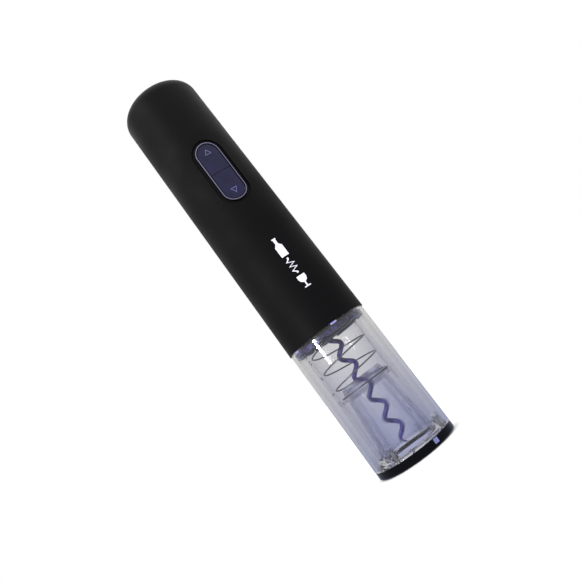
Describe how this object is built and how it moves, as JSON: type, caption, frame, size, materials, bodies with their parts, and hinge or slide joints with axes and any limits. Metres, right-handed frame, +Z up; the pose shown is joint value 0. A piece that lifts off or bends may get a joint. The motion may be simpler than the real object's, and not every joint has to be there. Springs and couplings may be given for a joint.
{
  "type": "electric wine opener",
  "caption": "Battery wine opener: soft-touch handle with an oval pair of buttons over a clear section that holds a worm, a sprung cork carriage and a base ring.",
  "frame": {"origin": "centre of the bottom face of the base ring", "axes": "+Z up the handle, -Y towards the buttons, +X to the right seen from the buttons"},
  "size_m": [0.048, 0.048, 0.247],
  "materials": {
    "soft_touch_black": "soft-touch coating",
    "gloss_black": "polished",
    "bright_trim": "polished",
    "blue_key": "translucent, lit from behind",
    "circuit_board": "solder mask",
    "white_board": "solder mask",
    "lamp": "lit",
    "nylon": "moulded",
    "cell_wrap": "plain wrapped",
    "nickel_steel": "nickel plated",
    "machined_steel": "machined",
    "ferrite": "sintered",
    "brass": "machined",
    "bronze": "sintered",
    "copper": "enamelled wire",
    "worm_coat": "non-stick coating",
    "spring_steel": "drawn wire",
    "blue_collar": "translucent",
    "clear_plastic": "clear",
    "lead_wire": "insulated"
  },
  "bodies": {
    "handle": {"housing": "soft_touch_black", "button_frame": "gloss_black", "frame_trim": "bright_trim", "switch_board": "circuit_board", "tact_switches": "nickel_steel", "board_parts": "gloss_black", "button_leds": "lamp", "chassis": "nylon", "cell_1": "cell_wrap", "cell_2": "cell_wrap", "cell_3": "cell_wrap", "cell_4": "cell_wrap", "contact_springs": "nickel_steel", "contact_plates": "nickel_steel", "motor_can": "nickel_steel", "motor_magnets": "ferrite", "motor_cap": "nylon", "motor_terminals": "brass", "motor_bush": "bronze", "gear_case": "nylon", "gear_plate": "machined_steel", "thrust_washer": "bronze", "output_bush": "bronze", "bulkhead": "nylon", "led_ring_board": "white_board", "ring_leds": "lamp", "collar_ring": "blue_collar", "clear_tube": "clear_plastic", "guide_tube": "clear_plastic", "base_ring": "gloss_black", "spring_seat": "gloss_black", "housing_screws": "nickel_steel", "inner_screws": "nickel_steel", "base_screws": "nickel_steel", "motor_leads": "lead_wire", "battery_leads": "lead_wire", "led_leads": "lead_wire"},
    "worm_unit": {"worm": "worm_coat", "worm_holder": "gloss_black", "output_carrier": "machined_steel"},
    "carriage_unit": {"carriage": "clear_plastic", "carriage_cap": "clear_plastic", "worm_guide": "clear_plastic", "carriage_spring": "spring_steel"},
    "lower_button": {"down_button": "blue_key", "down_plunger": "gloss_black"},
    "upper_button": {"up_button": "blue_key", "up_plunger": "gloss_black"},
    "rear_cover": {"battery_door": "soft_touch_black"},
    "rotor": {"motor_shaft": "machined_steel", "armature": "machined_steel", "windings": "copper", "motor_pinion": "brass"},
    "first_carrier": {"stage_carrier": "nylon"},
    "planet_1a": {"planet_1a": "nylon"},
    "planet_1b": {"planet_1b": "nylon"},
    "planet_1c": {"planet_1c": "nylon"},
    "planet_2a": {"planet_2a": "nylon"},
    "planet_2b": {"planet_2b": "nylon"},
    "planet_2c": {"planet_2c": "nylon"}
  },
  "joints": [
    {"name": "worm_spin", "type": "hinge", "parent": "handle", "child": "worm_unit", "pos_m": [0, 0, 0.08], "axis": [0, 0, 1], "continuous": true},
    {"name": "carriage_slide", "type": "slide", "parent": "handle", "child": "carriage_unit", "axis": [0, 0, 1], "range_m": [0, 0.027], "stiffness_N_per_m": 150, "springref_m": -0.012, "deforming": ["carriage_spring"]},
    {"name": "lower_button_press", "type": "slide", "parent": "handle", "child": "lower_button", "axis": [0, 1, 0], "range_m": [0, 0.0005], "stiffness_N_per_m": 1500, "springref_m": -0.0005},
    {"name": "upper_button_press", "type": "slide", "parent": "handle", "child": "upper_button", "axis": [0, 1, 0], "range_m": [0, 0.0005], "stiffness_N_per_m": 1500, "springref_m": -0.0005},
    {"name": "rear_cover_lift", "type": "slide", "parent": "handle", "child": "rear_cover", "axis": [0, 1, 0], "range_m": [0, 0.03]},
    {"name": "rotor_spin", "type": "hinge", "parent": "handle", "child": "rotor", "pos_m": [0, 0, 0.125], "axis": [0, 0, 1], "continuous": true},
    {"name": "first_carrier_spin", "type": "hinge", "parent": "handle", "child": "first_carrier", "pos_m": [0, 0, 0.099], "axis": [0, 0, 1], "continuous": true},
    {"name": "planet_1a_spin", "type": "hinge", "parent": "first_carrier", "child": "planet_1a", "pos_m": [0.009, 0, 0.103], "axis": [0, 0, 1], "continuous": true},
    {"name": "planet_1b_spin", "type": "hinge", "parent": "first_carrier", "child": "planet_1b", "pos_m": [-0.0045, 0.00779, 0.103], "axis": [0, 0, 1], "continuous": true},
    {"name": "planet_1c_spin", "type": "hinge", "parent": "first_carrier", "child": "planet_1c", "pos_m": [-0.0045, -0.00779, 0.103], "axis": [0, 0, 1], "continuous": true},
    {"name": "planet_2a_spin", "type": "hinge", "parent": "worm_unit", "child": "planet_2a", "pos_m": [0.009, 0, 0.094], "axis": [0, 0, 1], "continuous": true},
    {"name": "planet_2b_spin", "type": "hinge", "parent": "worm_unit", "child": "planet_2b", "pos_m": [-0.0045, 0.00779, 0.094], "axis": [0, 0, 1], "continuous": true},
    {"name": "planet_2c_spin", "type": "hinge", "parent": "worm_unit", "child": "planet_2c", "pos_m": [-0.0045, -0.00779, 0.094], "axis": [0, 0, 1], "continuous": true}
  ],
  "couplings": [
    {"joint": "worm_spin", "follows": "rotor_spin", "ratio": 0.017778},
    {"joint": "first_carrier_spin", "follows": "rotor_spin", "ratio": 0.13333},
    {"joint": "planet_2a_spin", "follows": "rotor_spin", "ratio": -0.04202},
    {"joint": "planet_1a_spin", "follows": "rotor_spin", "ratio": -0.31515},
    {"joint": "planet_2b_spin", "follows": "rotor_spin", "ratio": -0.04202},
    {"joint": "planet_1b_spin", "follows": "rotor_spin", "ratio": -0.31515},
    {"joint": "planet_2c_spin", "follows": "rotor_spin", "ratio": -0.04202},
    {"joint": "planet_1c_spin", "follows": "rotor_spin", "ratio": -0.31515}
  ]
}
